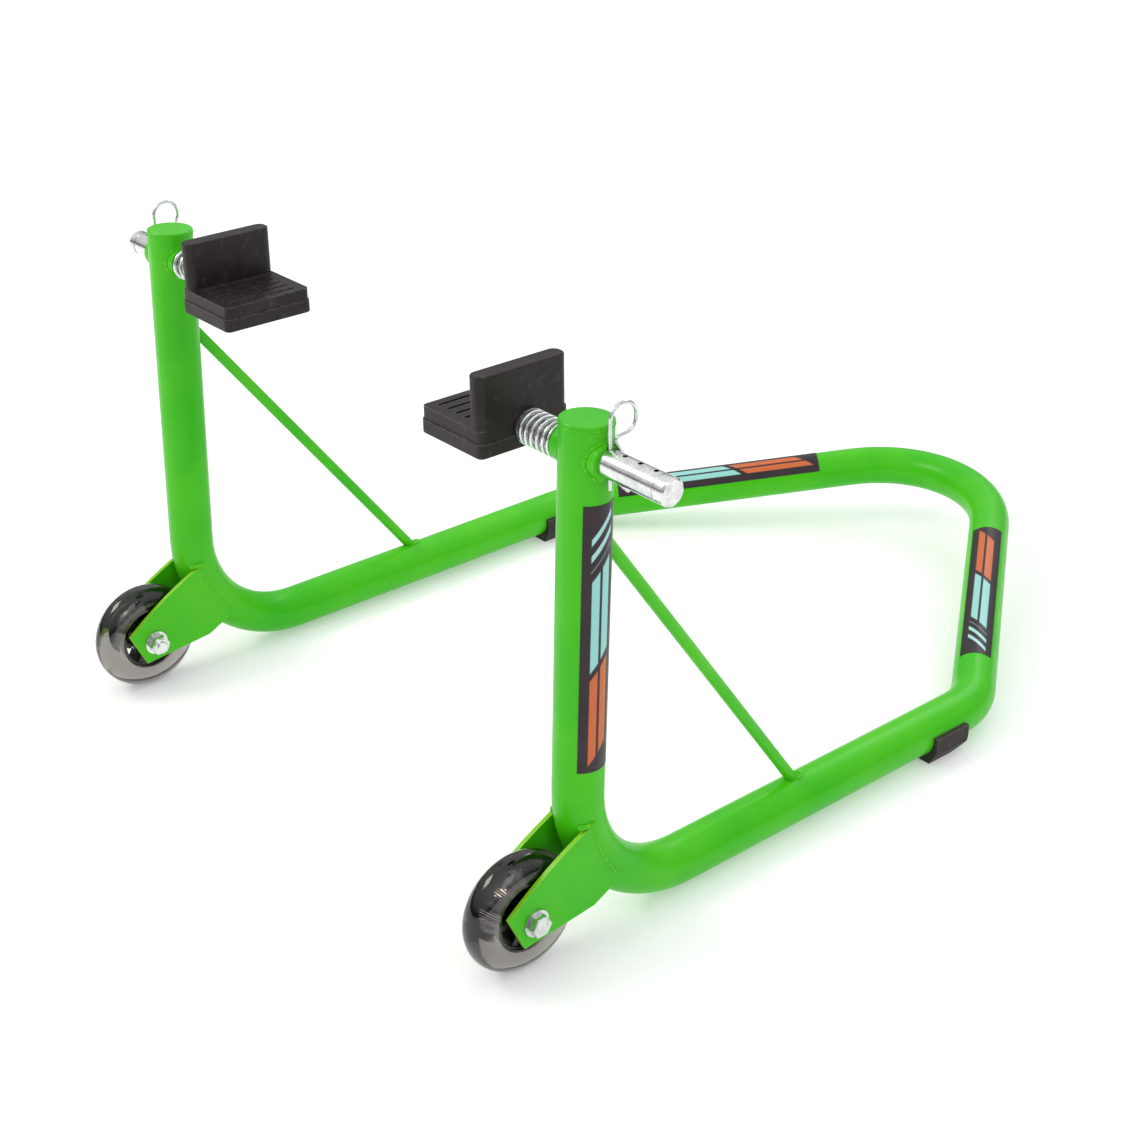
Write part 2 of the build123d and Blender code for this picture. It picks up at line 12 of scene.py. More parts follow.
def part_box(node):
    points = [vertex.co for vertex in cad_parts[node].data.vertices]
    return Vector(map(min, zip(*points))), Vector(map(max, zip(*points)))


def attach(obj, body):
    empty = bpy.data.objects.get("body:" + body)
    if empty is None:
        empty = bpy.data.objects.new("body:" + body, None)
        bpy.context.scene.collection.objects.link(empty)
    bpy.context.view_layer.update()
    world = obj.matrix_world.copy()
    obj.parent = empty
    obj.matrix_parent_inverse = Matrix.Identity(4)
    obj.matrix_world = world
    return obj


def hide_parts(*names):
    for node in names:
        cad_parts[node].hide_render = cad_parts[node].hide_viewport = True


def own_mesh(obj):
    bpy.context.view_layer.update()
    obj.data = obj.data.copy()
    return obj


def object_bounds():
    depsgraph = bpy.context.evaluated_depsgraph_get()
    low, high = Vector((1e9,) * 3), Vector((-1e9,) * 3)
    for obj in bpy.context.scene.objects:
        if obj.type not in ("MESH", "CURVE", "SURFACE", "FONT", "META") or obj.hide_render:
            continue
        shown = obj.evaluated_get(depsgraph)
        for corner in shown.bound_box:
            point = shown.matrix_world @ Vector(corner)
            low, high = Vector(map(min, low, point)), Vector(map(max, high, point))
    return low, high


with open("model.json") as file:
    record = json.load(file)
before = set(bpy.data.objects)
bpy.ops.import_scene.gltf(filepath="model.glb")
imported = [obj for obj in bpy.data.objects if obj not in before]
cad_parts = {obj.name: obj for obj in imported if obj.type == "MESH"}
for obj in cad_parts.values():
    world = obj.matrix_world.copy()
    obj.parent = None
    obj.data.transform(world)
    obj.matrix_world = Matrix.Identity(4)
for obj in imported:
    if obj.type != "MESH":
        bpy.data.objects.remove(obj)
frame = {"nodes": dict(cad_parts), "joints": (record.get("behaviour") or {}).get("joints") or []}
cad_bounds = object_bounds()
nodes = frame["nodes"]
joints = {j["name"]: j for j in frame["joints"]}
SIDES = (("left", -1), ("right", 1))  # each with the sign of its outward x

# ---------------------------------------------------------------- sizes, in metres and degrees
TUBE_R = 0.016  # outside radius of the bent tube

WIRE_R = 0.0012  # spring wire
COIL_TURNS = 6.0
CLOSED_TURNS = 0.75  # at each end of a spring, where the wire lies on itself
CLOSED_PITCH = 2.02 * WIRE_R
STEPS_PER_TURN = 48
WIRE_TIP_SHARE, WIRE_TIP_GAIN = 0.55, 0.1  # the wire's tip, and its growth at each step

SLEEVE_RING_R = 0.0112  # where the pin sleeve leaves the upright
SLEEVE_RING_START = 0.04  # off the upright's axis, from where the ring is projected onto it
SLEEVE_BEAD_R = 0.0011
BRACE_RING_R = 0.0041  # where a brace meets a tube
BRACE_TOP_BEAD_R, BRACE_FOOT_BEAD_R = 0.0012, 0.0013
CAP_RING_OUTSET, CAP_RING_DROP = 0.00005, 0.0013  # off the tube's side, below the cap's middle
CAP_BEAD_R = 0.00042
RING_POINTS = 48

RAIL_DIRECTION = Vector((0.0, 376.5, 2.0)).normalized()  # rises 2 mm in 376.5 mm
RAIL_AHEAD_OF_AXLE, RAIL_HEIGHT = 0.044, 0.0175  # a point on the rail's axis

BEND_AHEAD_OF_AXLE, BEND_ABOVE_AXLE = 0.13186, 0.06297  # centre of the heel bend
PLATE_SEAM_ANGLE, PLATE_SEAM_POINTS = 189.5, 34  # one point a degree, round the heel bend
PLATE_FACE_OUT, PLATE_FACE_BEND_R, PLATE_FACE_BEAD_R = 0.0158, 0.0879, 0.0009
PLATE_BACK_OUT, PLATE_BACK_BEND_R, PLATE_BACK_BEAD_R = 0.0125, 0.0952, 0.0012
# over a plate's top end: out from the tube's axis, and off the centre of the heel bend
PLATE_TOP_PATH = ((0.0119, 0.0964), (0.0130, 0.0949), (0.0140, 0.0933), (0.0150, 0.0911),
                  (0.0158, 0.0882), (0.0161, 0.0860))
PLATE_TOP_ANGLE, PLATE_TOP_BEAD_R = 188.4, 0.0020

BEAD_STEP = 0.0007
RIPPLE_PITCH, RIPPLE_SHARE = 0.0022, 0.10
LUMP_FREQUENCY, LUMP_PHASE, LUMP_SHARE = 641.0, 1.3, 0.09  # radians for a metre of bead
BEAD_END_SHARE, BEAD_END_GAIN = 0.45, 4.0  # an open bead's end, and its growth along the bead

FLOOR_HALF = 14.0
FLOOR_GLOW = 0.26

# ---------------------------------------------------------------- colours, linear
WHITE = (1.0, 1.0, 1.0)
ENAMEL_DEEP, ENAMEL_BRIGHT = (0.036, 0.48, 0.004), (0.080, 0.56, 0.005)
# painted highlight on the fork plates' cut edges
EDGE_HIGHLIGHT_GREEN = (0.27, 0.62, 0.008)
# paler green on the plates' corners: partly wear, partly painted highlight
WORN_AND_LIT_EDGE_GREEN = (0.55, 0.80, 0.20)
# painted glints: brighter specks on the weld beads
WELD_GLINT_GREEN = (0.20, 0.60, 0.01)
ZINC_STAIN = (0.42, 0.41, 0.38)
RUBBER_DUST, RUBBER_WORN_EDGE = (0.085, 0.076, 0.070), (0.16, 0.145, 0.135)
SMOKE_DEEP, SMOKE_PALE = (0.90, 0.88, 0.87), (0.97, 0.955, 0.95)
SMOKE_VOLUME = (0.42, 0.385, 0.375, 1.0)
SMOKE_DENSITY = 80.0
HUB_BLACK, CAGE_NYLON = (0.006, 0.006, 0.007), (0.55, 0.53, 0.48)
FILM_DEEP, FILM_PALE = (0.013, 0.006, 0.010), (0.024, 0.011, 0.018)
MINT, ORANGE, TICK_MINT = (0.30, 0.66, 0.62), (0.60, 0.13, 0.03), (0.38, 0.70, 0.68)
FLOOR_DEEP, FLOOR_PALE = (0.80, 0.80, 0.80), (0.82, 0.82, 0.82)
# the sky's height and its brightness there, as lighting and reflections see it
SKY_LEVELS = ((0.0, 0.10), (0.10, 0.16), (0.26, 0.62), (0.48, 0.80), (0.75, 1.0))

# ---------------------------------------------------------------- stripes on the film
# shares of the film's length (spans) and of its width (bands)
STRIPE_SLANT = 0.16
STRIPE_BANDS = ((-0.27, -0.05), (0.03, 0.27))
MINT_SPAN, ORANGE_SPAN = (0.23, 0.57), (0.60, 0.93)
TICK_SPAN, TICK_BAND = (0.055, 0.19), (-0.3, 0.3)
TICKS_PER_LENGTH, TICK_SHARE = 17.0, (0.2, 0.62)


# ---------------------------------------------------------------- node helpers
class Shader:
    """A material's node tree, with short calls for the nodes used here."""

    def __init__(self, name):
        self.material = bpy.data.materials.new(name)
        self.material.use_nodes = True
        self.tree = self.material.node_tree
        self.bsdf = self.tree.nodes["Principled BSDF"]
        self.output = self.tree.nodes["Material Output"]

    def put(self, socket, value):
        """Links another node's socket, or sets a constant. None leaves the socket as it is."""
        if isinstance(value, bpy.types.NodeSocket):
            self.tree.links.new(value, socket)
        elif value is not None:
            socket.default_value = value

    def node(self, kind, inputs=(), **settings):
        made = self.tree.nodes.new(kind)
        for key, value in settings.items():
            setattr(made, key, value)
        for key, value in dict(inputs).items():
            self.put(made.inputs[key], value)
        return made

    def set(self, **values):
        """Sets inputs of the Principled BSDF, named with _ for each space."""
        for key, value in values.items():
            self.put(self.bsdf.inputs[key.replace("_", " ")], value)

    def coords(self):
        return self.node("ShaderNodeTexCoord").outputs["Object"]

    def noise(self, scale, detail=4.0, roughness=0.5, stretch=None):
        """Noise in the object's own coordinates, which stretch scales along each axis."""
        at = self.coords()
        if stretch:
            at = self.node("ShaderNodeMapping", {"Vector": at, "Scale": stretch}).outputs[0]
        return self.node("ShaderNodeTexNoise", {
            "Vector": at, "Scale": scale, "Detail": detail, "Roughness": roughness,
        }).outputs["Fac"]

    def math(self, operation, a, b=None):
        made = self.node("ShaderNodeMath", operation=operation)
        self.put(made.inputs[0], a)
        self.put(made.inputs[1], b)
        return made.outputs[0]

    def spread(self, value, low, high, out_low=0.0, out_high=1.0):
        """Maps value from low..high to out_low..out_high, held at the ends."""
        return self.node("ShaderNodeMapRange", {
            "Value": value, "From Min": low, "From Max": high,
            "To Min": out_low, "To Max": out_high}).outputs[0]

    def mix(self, factor, a, b):
        made = self.node("ShaderNodeMix", data_type="RGBA")
        self.put(made.inputs[0], factor)
        self.put(made.inputs[6], (*a, 1.0) if isinstance(a, tuple) else a)
        self.put(made.inputs[7], (*b, 1.0) if isinstance(b, tuple) else b)
        return made.outputs[2]

    def edges(self, radius):
        """1 on edges sharper than the radius, 0 on flats, broken up by noise."""
        rounded = self.node("ShaderNodeBevel", {"Radius": radius}, samples=4).outputs[0]
        true = self.node("ShaderNodeNewGeometry").outputs["Normal"]
        dot = self.node("ShaderNodeVectorMath", {0: rounded, 1: true},
                        operation="DOT_PRODUCT").outputs["Value"]
        sharp = self.spread(self.math("SUBTRACT", 1.0, dot), 0.03, 0.22)
        return self.math("MULTIPLY", sharp, self.spread(self.noise(210.0, 4.0, 0.7), 0.3, 0.6))

    def inside(self, value, span, soft=0.004):
        """1 where value lies in the span, with a narrow soft edge."""
        low, high = span
        rise = self.spread(value, low - soft, low + soft)
        fall = self.spread(value, high - soft, high + soft, 1.0, 0.0)
        return self.math("MULTIPLY", rise, fall)

    def bump(self, *layers):
        """layers are (height, strength, distance in metres), laid one over the other."""
        normal = None
        for height, strength, distance in layers:
            made = self.node("ShaderNodeBump", {
                "Height": height, "Strength": strength, "Distance": distance})
            self.put(made.inputs["Normal"], normal)
            normal = made.outputs["Normal"]
        self.put(self.bsdf.inputs["Normal"], normal)


# ---------------------------------------------------------------- materials
def enamel(name, weld=False, cut_plate=False):
    """Bright green powder enamel: slight orange peel and thickness variation, with painted
    highlights on plate edges and painted glints on welds.
    """
    s = Shader(name)
    cloud = s.spread(s.noise(16.0, 3.0), 0.3, 0.7)
    colour = s.mix(cloud, ENAMEL_DEEP, ENAMEL_BRIGHT)
    if cut_plate:
        # painted highlight: the plate's cut edges, whose normals lie off its faces, get a
        # yellower green; its corners get a paler green, partly wear and partly painted highlight
        normal = s.node("ShaderNodeTexCoord").outputs["Normal"]
        across = s.math("ABSOLUTE", s.node("ShaderNodeSeparateXYZ", {0: normal}).outputs[0])
        edge_highlight = s.spread(across, 0.35, 0.75, 0.75, 0.0)
        colour = s.mix(edge_highlight, colour, EDGE_HIGHLIGHT_GREEN)
        # paler green on the plate's corners, partly wear and partly painted highlight
        worn_and_lit = s.math("MULTIPLY", s.edges(0.0008), 0.7)
        colour = s.mix(worn_and_lit, colour, WORN_AND_LIT_EDGE_GREEN)
    if weld:
        # painted glints: brighter yellow-green specks scattered over the weld beads
        painted_glint = s.spread(s.noise(520.0, 3.0), 0.5, 0.68)
        colour = s.mix(painted_glint, colour, WELD_GLINT_GREEN)
    s.set(Base_Color=colour, IOR=1.5, Specular_IOR_Level=0.2, Coat_Weight=0.12,
          Coat_Roughness=0.06, Roughness=s.spread(s.noise(110.0), 0.3, 0.7, 0.30, 0.42))
    peel = s.noise(900.0, 2.0)
    ripple = s.noise(260.0 if weld else 60.0, 2.0)
    s.bump((ripple, 0.5 if weld else 0.06, 0.0006), (peel, 0.08, 0.0002))
    return s.material


def zinc(name, roughness, tone, grain=(1.0, 1.0, 1.0)):
    """Bright zinc plate with faint drawing marks and a mottled, slightly blue lustre."""
    s = Shader(name)
    cloud = s.spread(s.noise(190.0, 5.0, 0.65), 0.32, 0.68)
    colour = s.mix(cloud, (tone, tone, tone * 0.985), (tone * 0.72, tone * 0.75, tone * 0.78))
    stain = s.spread(s.noise(70.0, 4.0, 0.7), 0.56, 0.74)
    colour = s.mix(s.math("MULTIPLY", stain, 0.6), colour, ZINC_STAIN)
    lines = s.noise(420.0, 3.0, 0.6, grain)
    s.set(Base_Color=colour, Metallic=1.0,
          Roughness=s.spread(lines, 0.3, 0.7, roughness * 0.7, roughness * 1.5))
    s.bump((cloud, 0.10, 0.0002), (lines, 0.14, 0.0002))
    return s.material


def rubber(name, tone, roughness):
    """Moulded rubber: brownish black with a faint grey bloom and fine pebble."""
    s = Shader(name)
    bloom = s.noise(34.0, 5.0, 0.62)
    colour = s.mix(s.spread(bloom, 0.32, 0.7), (tone * 1.1, tone * 0.76, tone * 0.7),
                   (tone * 2.7, tone * 2.15, tone * 1.95))
    dust = s.spread(s.noise(120.0, 6.0, 0.75), 0.54, 0.74)
    colour = s.mix(s.math("MULTIPLY", dust, 0.55), colour, RUBBER_DUST)
    colour = s.mix(s.math("MULTIPLY", s.edges(0.0014), 0.8), colour, RUBBER_WORN_EDGE)
    s.set(Base_Color=colour, IOR=1.5, Specular_IOR_Level=0.26,
          Roughness=s.spread(bloom, 0.3, 0.7, roughness * 0.8, roughness * 1.15))
    s.bump((s.noise(200.0, 3.0), 0.22, 0.0005), (s.noise(1500.0, 3.0, 0.6), 0.22, 0.00012))
    return s.material


def smoky(name):
    """Clear polyurethane tinted grey: light comes through its thin edges."""
    s = Shader(name)
    swirl = s.spread(s.noise(45.0, 3.0), 0.3, 0.7)
    s.set(Base_Color=s.mix(swirl, SMOKE_DEEP, SMOKE_PALE),
          Roughness=s.spread(s.noise(90.0, 3.0), 0.3, 0.7, 0.03, 0.08), IOR=1.47,
          Transmission_Weight=1.0, Coat_Weight=0.35, Coat_Roughness=0.03)
    smoke = s.node("ShaderNodeVolumeAbsorption", {
        "Color": SMOKE_VOLUME, "Density": SMOKE_DENSITY}).outputs[0]
    s.put(s.output.inputs["Volume"], smoke)
    s.bump((s.noise(330.0, 4.0, 0.65), 0.04, 0.0003))
    return s.material


def plastic(name, colour, roughness):
    """Moulded plastic, slightly uneven in colour and gloss."""
    s = Shader(name)
    cloud = s.noise(120.0, 4.0)
    s.set(Base_Color=s.mix(cloud, colour, tuple(min(1.0, c * 1.35 + 0.002) for c in colour)),
          IOR=1.49, Roughness=s.spread(cloud, 0.3, 0.7, roughness * 0.85, roughness * 1.2))
    s.bump((s.noise(700.0, 2.0), 0.1, 0.0002))
    return s.material


def mesh_points(obj):
    return np.array([v.co for v in obj.data.vertices], float)


def principal_axes(points):
    """Unit directions in which the points spread least, more and most."""
    return [Vector(axis) for axis in np.linalg.eigh(np.cov((points - points.mean(0)).T))[1].T]


def decal(name, obj):
    """Dark vinyl film with plain mint and orange racing stripes laid along the tube."""
    points = mesh_points(obj)
    centre = (points.min(0) + points.max(0)) / 2
    _, across, along = principal_axes(points)
    if along.z > 0.5 or (abs(along.z) < 0.5 and along.y < 0):
        along.negate()
    s = Shader(name)
    offset = s.node("ShaderNodeVectorMath", {0: s.coords(), 1: tuple(centre)},
                    operation="SUBTRACT").outputs[0]

    def share_along(direction):
        """How far along the film a point lies, as a share of the film's size that way."""
        size = np.ptp((points - centre) @ np.array(direction))
        dot = s.node("ShaderNodeVectorMath", {0: offset, 1: tuple(direction)},
                     operation="DOT_PRODUCT").outputs["Value"]
        return s.math("DIVIDE", dot, size)

    v = share_along(across)
    u = s.math("ADD", share_along(along), 0.5)
    u = s.math("ADD", u, s.math("MULTIPLY", v, STRIPE_SLANT))
    band = s.math("MAXIMUM", *(s.inside(v, span, 0.01) for span in STRIPE_BANDS))
    mint = s.math("MULTIPLY", band, s.inside(u, MINT_SPAN))
    orange = s.math("MULTIPLY", band, s.inside(u, ORANGE_SPAN))
    ticks = s.math("FRACT", s.math("MULTIPLY", u, TICKS_PER_LENGTH))
    ticks = s.math("MULTIPLY", s.inside(ticks, TICK_SHARE, 0.03), s.inside(u, TICK_SPAN))
    ticks = s.math("MULTIPLY", ticks, s.inside(v, TICK_BAND, 0.01))
    colour = s.mix(s.spread(s.noise(60.0, 3.0), 0.3, 0.7), FILM_DEEP, FILM_PALE)
    for where, ink in ((mint, MINT), (orange, ORANGE), (ticks, TICK_MINT)):
        colour = s.mix(where, colour, ink)
    s.set(Base_Color=colour, IOR=1.5, Specular_IOR_Level=0.4,
          Roughness=s.spread(s.noise(200.0, 3.0), 0.3, 0.7, 0.27, 0.38))
    s.bump((s.noise(300.0, 2.0), 0.05, 0.0003))
    return s.material


# ---------------------------------------------------------------- mesh helpers
def new_object(name, mesh, material, body):
    """A smooth-shaded visible piece that rides on the body and has its material in the slot."""
    mesh.materials.append(material)
    for polygon in mesh.polygons:
        polygon.use_smooth = True
    obj = bpy.data.objects.new(name, mesh)
    bpy.context.scene.collection.objects.link(obj)
    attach(obj, body)
    return obj


def sweep(name, points, radii, sides, closed=False):
    """Round mesh along points, with a radius at each, in a loop or with flat ends."""
    points = [Vector(p) for p in points]
    count = len(points)
    mesh = bmesh.new()
    rings = []
    normal = None
    for i, p in enumerate(points):
        before = points[i - 1] if closed or i else p
        after = points[(i + 1) % count] if closed or i + 1 < count else p
        tangent = (after - before).normalized()
        if normal is None:
            normal = tangent.orthogonal().normalized()
        normal = (normal - tangent * normal.dot(tangent)).normalized()
        across = tangent.cross(normal)
        ring = []
        for k in range(sides):
            turn = 2 * math.pi * k / sides
            out = (normal * math.cos(turn) + across * math.sin(turn)) * radii[i]
            ring.append(mesh.verts.new(p + out))
        rings.append(ring)
    for i in range(count if closed else count - 1):
        a, b = rings[i], rings[(i + 1) % count]
        shift = 0
        if closed and i == count - 1:
            # the first ring can be turned against the last one
            shift = min(range(sides), key=lambda k: (a[0].co - b[k].co).length)
        for k in range(sides):
            j = (k + 1) % sides
            mesh.faces.new((a[k], a[j], b[(j + shift) % sides], b[(k + shift) % sides]))
    if not closed:
        mesh.faces.new(list(reversed(rings[0])))
        mesh.faces.new(rings[-1])
    bmesh.ops.recalc_face_normals(mesh, faces=mesh.faces)
    data = bpy.data.meshes.new(name)
    mesh.to_mesh(data)
    mesh.free()
    return data


def bead(name, points, radius, closed=False):
    """Weld bead: a lumpy round ridge with the ripples of a hand weld."""
    pts = [Vector(p) for p in points]
    if closed:
        pts.append(pts[0])
    lengths = [0.0]
    for a, b in zip(pts, pts[1:]):
        lengths.append(lengths[-1] + (b - a).length)
    steps = max(12, int(lengths[-1] / BEAD_STEP))
    samples, radii = [], []
    for i in range(steps + (0 if closed else 1)):
        want = lengths[-1] * i / steps
        k = max(j for j in range(len(lengths)) if lengths[j] <= want + 1e-12)
        k = min(k, len(pts) - 2)
        share = (want - lengths[k]) / max(lengths[k + 1] - lengths[k], 1e-9)
        samples.append(pts[k].lerp(pts[k + 1], share))
        wave = (RIPPLE_SHARE * math.sin(2 * math.pi * want / RIPPLE_PITCH)
                + LUMP_SHARE * math.sin(want * LUMP_FREQUENCY + LUMP_PHASE))
        grown = BEAD_END_SHARE + BEAD_END_GAIN * min(i, steps - i) / steps
        radii.append(radius * (1 + wave) * (1.0 if closed else min(1.0, grown)))
    new_object(name, sweep(name, samples, radii, 10, closed), weld_paint, "frame")


def meet(start, direction, radius, axis_point, axis_direction, count=40):
    """Points where a rod of that radius, running from start, first meets the bent tube."""
    direction, axis_direction = direction.normalized(), axis_direction.normalized()
    one = direction.orthogonal().normalized()
    two = direction.cross(one)
    found = []
    for k in range(count):
        turn = 2 * math.pi * k / count
        origin = start + one * math.cos(turn) * radius + two * math.sin(turn) * radius
        p = origin - axis_point
        p -= axis_direction * p.dot(axis_direction)
        d = direction - axis_direction * direction.dot(axis_direction)
        a, b, c = d.dot(d), 2 * p.dot(d), p.dot(p) - TUBE_R ** 2
        root = max(b * b - 4 * a * c, 0.0)
        found.append(origin + direction * ((-b - math.sqrt(root)) / (2 * a)))
    return found


# ---------------------------------------------------------------- materials on the CAD nodes
paint = enamel("green_enamel")
weld_paint = enamel("green_enamel_weld", weld=True)
plate_paint = enamel("green_enamel_plate", cut_plate=True)
pin_zinc = zinc("zinc_pin", 0.16, 0.86, (0.15, 1.0, 1.0))
bolt_zinc = zinc("zinc_hardware", 0.2, 0.84)
clip_zinc = zinc("zinc_clip", 0.2, 0.78)
spring_zinc = zinc("zinc_spring", 0.18, 0.86)
bearing_steel = zinc("bearing_steel", 0.12, 0.8)
boot_rubber = rubber("boot_rubber", 0.010, 0.44)
foot_rubber = rubber("foot_rubber", 0.015, 0.56)
tyre_urethane = smoky("smoky_urethane")
hub_plastic = plastic("hub_plastic", HUB_BLACK, 0.2)
cage_plastic = plastic("cage_nylon", CAGE_NYLON, 0.45)

# the decals aren't listed: each gets a film of its own, laid out on its mesh
NODE_MATERIALS = {
    "main_tube": paint, "top_cap": paint, "pin_sleeve": paint, "brace": paint,
    "outer_fork_plate": plate_paint, "inner_fork_plate": plate_paint,
    "rubber_foot": foot_rubber,
    "tyre": tyre_urethane, "hub": hub_plastic, "bearing_outer_rings": bearing_steel,
    "bearing_inner_rings": bearing_steel, "bearing_balls": bearing_steel,
    "bearing_cages": cage_plastic, "bearing_shields": bolt_zinc, "bearing_spacer": bolt_zinc,
    "side_spacers": bolt_zinc, "axle_washers": bolt_zinc, "axle_bolt": bolt_zinc,
    "axle_nut": bolt_zinc, "support_pin": pin_zinc, "l_bracket": bolt_zinc,
    "cradle_boot": boot_rubber, "spring_washer": bolt_zinc, "spring": spring_zinc,
    "r_clip": clip_zinc,
}
for name, obj in nodes.items():
    kind = name.removeprefix("left_").removeprefix("right_")
    material = NODE_MATERIALS.get(kind) or decal(f"{name}_film", obj)
    obj.data.materials.clear()
    obj.data.materials.append(material)


# ---------------------------------------------------------------- springs and welds
class Upright:
    """One side's upright, with the places that the frame gives."""

    def __init__(self, side, out):
        self.side, self.out = side, out
        self.swivel = Vector(joints[f"{side}_cradle_swivel"]["pos_m"])
        self.axle = Vector(joints[f"{side}_wheel_spin"]["pos_m"])
        cap_low, cap_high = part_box(f"{side}_top_cap")
        self.top = (cap_low + cap_high) / 2
        rise = self.top - self.swivel
        self.direction = Vector((0, rise.y, rise.z)).normalized()
        self.pin_crossing = Vector((self.axle.x, self.swivel.y, self.swivel.z))

    def on_bend(self, out, radius, degrees):
        """The point out from the tube's axis, at that radius and angle about the heel bend."""
        angle = math.radians(degrees)
        return Vector((self.axle.x + out,
                       self.axle.y + BEND_AHEAD_OF_AXLE + radius * math.cos(angle),
                       self.axle.z + BEND_ABOVE_AXLE + radius * math.sin(angle)))


def coil_spring(upright):
    """Round-wire coil in the CAD spring's place."""
    side, out, swivel = upright.side, upright.out, upright.swivel
    low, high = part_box(f"{side}_spring")
    coil_r = (high.y - low.y) / 2 - WIRE_R
    inner, outer = (low.x, high.x) if out > 0 else (high.x, low.x)
    start = outer - out * WIRE_R
    total = abs(inner + out * WIRE_R - start)
    closed_length = CLOSED_PITCH * CLOSED_TURNS
    steps = int(COIL_TURNS * STEPS_PER_TURN)
    points, radii = [], []
    for i in range(steps + 1):
        t = i / STEPS_PER_TURN
        if t <= CLOSED_TURNS:
            along = CLOSED_PITCH * t
        elif t >= COIL_TURNS - CLOSED_TURNS:
            along = total - CLOSED_PITCH * (COIL_TURNS - t)
        else:
            share = (t - CLOSED_TURNS) / (COIL_TURNS - 2 * CLOSED_TURNS)
            along = closed_length + share * (total - 2 * closed_length)
        turn = 2 * math.pi * t
        points.append((start - out * along, swivel.y + coil_r * math.cos(turn),
                       swivel.z + coil_r * math.sin(turn)))
        radii.append(WIRE_R * min(1.0, WIRE_TIP_SHARE + WIRE_TIP_GAIN * min(i, steps - i)))
    coil = new_object(f"{side}_coil_spring", sweep(f"{side}_coil_spring", points, radii, 12),
                      spring_zinc, "frame")
    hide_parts(f"{side}_spring")
    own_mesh(coil)


def sleeve_welds(upright):
    """The pin sleeve welded into the upright, on its inner and its outer side."""
    for face in (-1, 1):
        start = upright.pin_crossing + Vector((face * SLEEVE_RING_START, 0, 0))
        ring = meet(start, Vector((-face, 0, 0)), SLEEVE_RING_R, upright.pin_crossing,
                    upright.direction, RING_POINTS)
        where = "outer" if face == upright.out else "inner"
        bead(f"{upright.side}_sleeve_weld_{where}", ring, SLEEVE_BEAD_R, closed=True)


def brace_welds(upright):
    """The brace welded to the upright at its top and to the rail at its foot."""
    low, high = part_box(f"{upright.side}_brace")
    middle = (low + high) / 2
    down = principal_axes(mesh_points(nodes[f"{upright.side}_brace"]))[2]
    if down.z > 0:
        down.negate()
    ring = meet(middle, -down, BRACE_RING_R, upright.pin_crossing, upright.direction)
    bead(f"{upright.side}_brace_weld_top", ring, BRACE_TOP_BEAD_R, closed=True)
    on_rail = Vector((upright.axle.x, upright.axle.y + RAIL_AHEAD_OF_AXLE, RAIL_HEIGHT))
    ring = meet(middle, down, BRACE_RING_R, on_rail, RAIL_DIRECTION)
    bead(f"{upright.side}_brace_weld_foot", ring, BRACE_FOOT_BEAD_R, closed=True)


def cap_weld(upright):
    """The cap welded round the upright's rim."""
    one = Vector((1, 0, 0))
    two = upright.direction.cross(one)
    centre = upright.top - upright.direction * CAP_RING_DROP
    turns = (2 * math.pi * k / RING_POINTS for k in range(RING_POINTS))
    ring = [centre + (one * math.cos(a) + two * math.sin(a)) * (TUBE_R + CAP_RING_OUTSET)
            for a in turns]
    bead(f"{upright.side}_cap_weld", ring, CAP_BEAD_R, closed=True)


def plate_welds(upright):
    """Both fork plates welded along the heel bend, on face and back, and over their tops."""
    angles = [PLATE_SEAM_ANGLE + k for k in range(PLATE_SEAM_POINTS)]
    for plate, out in (("outer", upright.out), ("inner", -upright.out)):
        name = f"{upright.side}_{plate}_plate_weld"
        seam = [upright.on_bend(out * PLATE_FACE_OUT, PLATE_FACE_BEND_R, a) for a in angles]
        bead(f"{name}_face", seam, PLATE_FACE_BEAD_R)
        seam = [upright.on_bend(out * PLATE_BACK_OUT, PLATE_BACK_BEND_R, a) for a in angles]
        bead(f"{name}_back", seam, PLATE_BACK_BEAD_R)
        seam = [upright.on_bend(out * x, r, PLATE_TOP_ANGLE) for x, r in PLATE_TOP_PATH]
        bead(f"{name}_top", seam, PLATE_TOP_BEAD_R)


uprights = [Upright(side, out) for side, out in SIDES]
for upright in uprights:
    coil_spring(upright)
for upright in uprights:
    sleeve_welds(upright)
    brace_welds(upright)
    cap_weld(upright)
    plate_welds(upright)

# ---------------------------------------------------------------- floor
floor = bpy.data.meshes.new("floor")
grid = bmesh.new()
bmesh.ops.create_grid(grid, x_segments=2, y_segments=2, size=FLOOR_HALF)
grid.to_mesh(floor)
grid.free()
floor_shader = Shader("floor_white")
floor_shader.set(Base_Color=floor_shader.mix(floor_shader.noise(3.0), FLOOR_DEEP, FLOOR_PALE),
                 Roughness=0.6, Specular_IOR_Level=0.15, Emission_Color=(*WHITE, 1.0),
                 Emission_Strength=FLOOR_GLOW)
floor.materials.append(floor_shader.material)
floor_obj = bpy.data.objects.new("floor", floor)
bpy.context.scene.collection.objects.link(floor_obj)

# ---------------------------------------------------------------- sky
world = bpy.data.worlds.new("studio")
bpy.context.scene.world = world
world.use_nodes = True
sky = world.node_tree
toward = sky.nodes.new("ShaderNodeTexCoord")
split = sky.nodes.new("ShaderNodeSeparateXYZ")
ramp = sky.nodes.new("ShaderNodeValToRGB")
sky.links.new(toward.outputs["Generated"], split.inputs[0])
sky.links.new(split.outputs[2], ramp.inputs[0])
sky.links.new(ramp.outputs[0], sky.nodes["Background"].inputs["Color"])
ramp.color_ramp.elements[-1].color = (*WHITE, 1.0)
for height, level in SKY_LEVELS:
    step = ramp.color_ramp.elements[0] if height == 0.0 else ramp.color_ramp.elements.new(height)
    step.color = (level, level, level, 1.0)
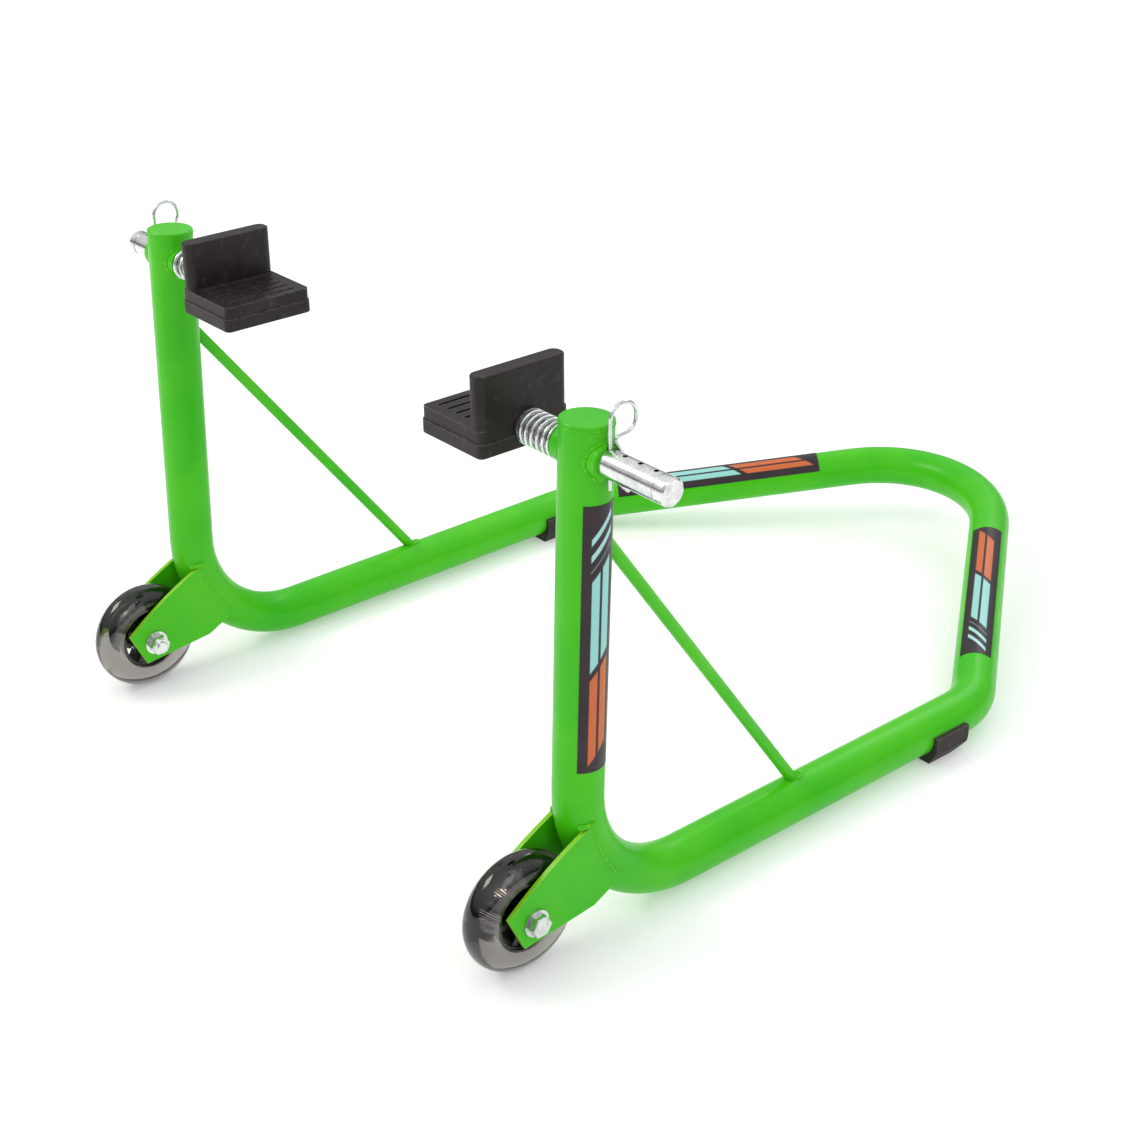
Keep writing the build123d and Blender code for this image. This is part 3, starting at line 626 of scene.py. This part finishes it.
# the camera itself sees plain white; only lighting and reflections get the darker horizon
plain = sky.nodes.new("ShaderNodeBackground")
plain.inputs["Color"].default_value = (*WHITE, 1.0)
ray = sky.nodes.new("ShaderNodeLightPath")
blend = sky.nodes.new("ShaderNodeMixShader")
sky.links.new(ray.outputs["Is Camera Ray"], blend.inputs[0])
sky.links.new(sky.nodes["Background"].outputs[0], blend.inputs[1])
sky.links.new(plain.outputs[0], blend.inputs[2])
sky.links.new(blend.outputs[0], sky.nodes["World Output"].inputs["Surface"])

# ---------------------------------------------------------------- lights
target = (Vector(cad_bounds[0]) + Vector(cad_bounds[1])) / 2


def soft_light(name, place, size, power, colour=WHITE):
    """Rectangular light at a place off the stand's middle, turned to face it."""
    data = bpy.data.lights.new(name, "AREA")
    data.shape, data.size, data.size_y = "RECTANGLE", size[0], size[1]
    data.energy, data.color = power, colour
    obj = bpy.data.objects.new(name, data)
    obj.location = target + Vector(place)
    obj.rotation_mode = "QUATERNION"
    obj.rotation_quaternion = (target - obj.location).to_track_quat("-Z", "Y")
    bpy.context.scene.collection.objects.link(obj)


soft_light("key", (-1.5, -1.7, 2.1), (1.3, 0.9), 26.0, (1.0, 0.96, 0.84))
soft_light("fill", (2.4, -0.4, 1.6), (1.0, 1.4), 7.0, (0.86, 0.95, 1.0))
soft_light("back", (-0.6, 2.4, 2.2), (1.8, 0.7), 12.0)

# ---------------------------------------------------------------- camera
CAMERA_PLACE = Vector((0.9861, -0.9184, 0.7729))
AZIMUTH, ELEVATION, ROLL = (math.radians(a) for a in (50.39, 26.97, -0.54))

camera = bpy.data.cameras.new("camera")
camera.lens, camera.sensor_width = 64.2, 36.0
camera.clip_start, camera.clip_end = 0.05, 60.0
view = bpy.data.objects.new("camera", camera)
back = Vector((math.sin(AZIMUTH) * math.cos(ELEVATION), -math.cos(AZIMUTH) * math.cos(ELEVATION),
               math.sin(ELEVATION)))
level_right = Vector((math.cos(AZIMUTH), math.sin(AZIMUTH), 0.0))
level_up = back.cross(level_right)
right = level_right * math.cos(ROLL) + level_up * math.sin(ROLL)
up = level_up * math.cos(ROLL) - level_right * math.sin(ROLL)
turned = Matrix((right, up, back)).transposed().to_4x4()
view.matrix_world = Matrix.Translation(CAMERA_PLACE) @ turned
bpy.context.scene.collection.objects.link(view)
bpy.context.scene.camera = view
bpy.context.scene.view_settings.view_transform = "Standard"
